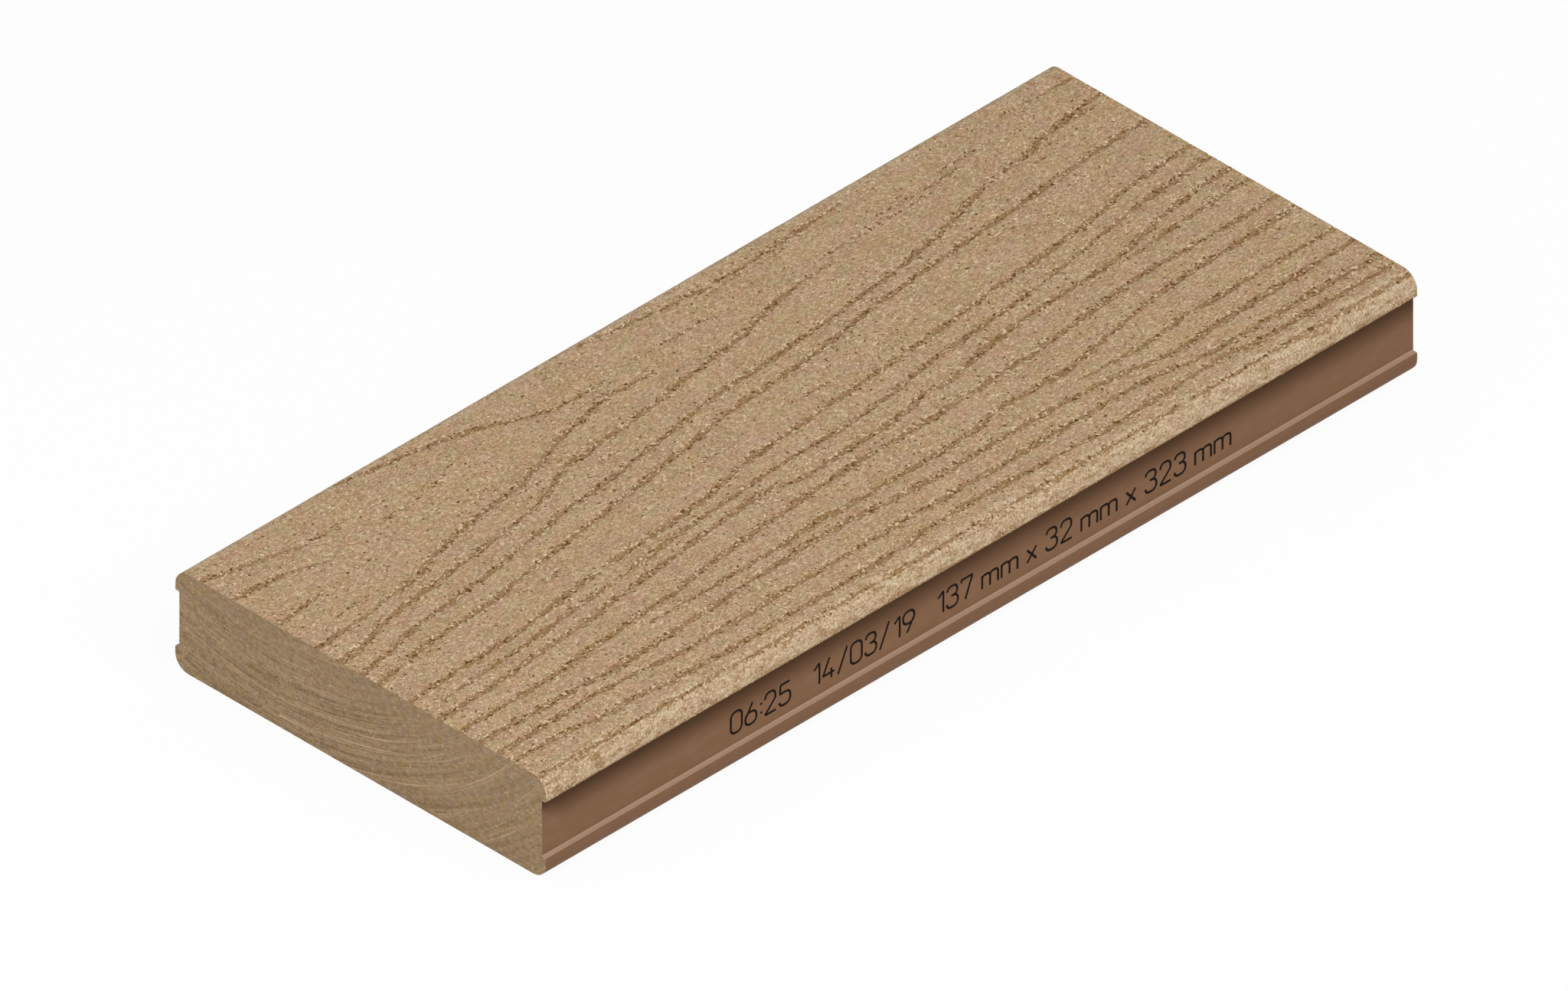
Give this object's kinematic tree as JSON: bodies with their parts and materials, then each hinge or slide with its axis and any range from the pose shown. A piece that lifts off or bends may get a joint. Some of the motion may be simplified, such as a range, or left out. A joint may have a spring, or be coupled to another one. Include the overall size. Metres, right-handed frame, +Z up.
{
  "type": "decking board",
  "caption": "Solid wood-plastic composite decking board, short sawn length, with rounded long edges, an embossed wood-grain top and a shallow clip groove in each side.",
  "frame": {"origin": "middle of the underside, in the plane that rests on the joists", "axes": "+X along the board from the near sawn end to the far one, +Y across it, +Z up out of the walking face; the side that the picture shows faces -Y"},
  "size_m": [0.323, 0.137, 0.032],
  "materials": {
    "wood_plastic_composite": "matte"
  },
  "bodies": {
    "root": {"decking_board": "wood_plastic_composite"}
  },
  "joints": []
}
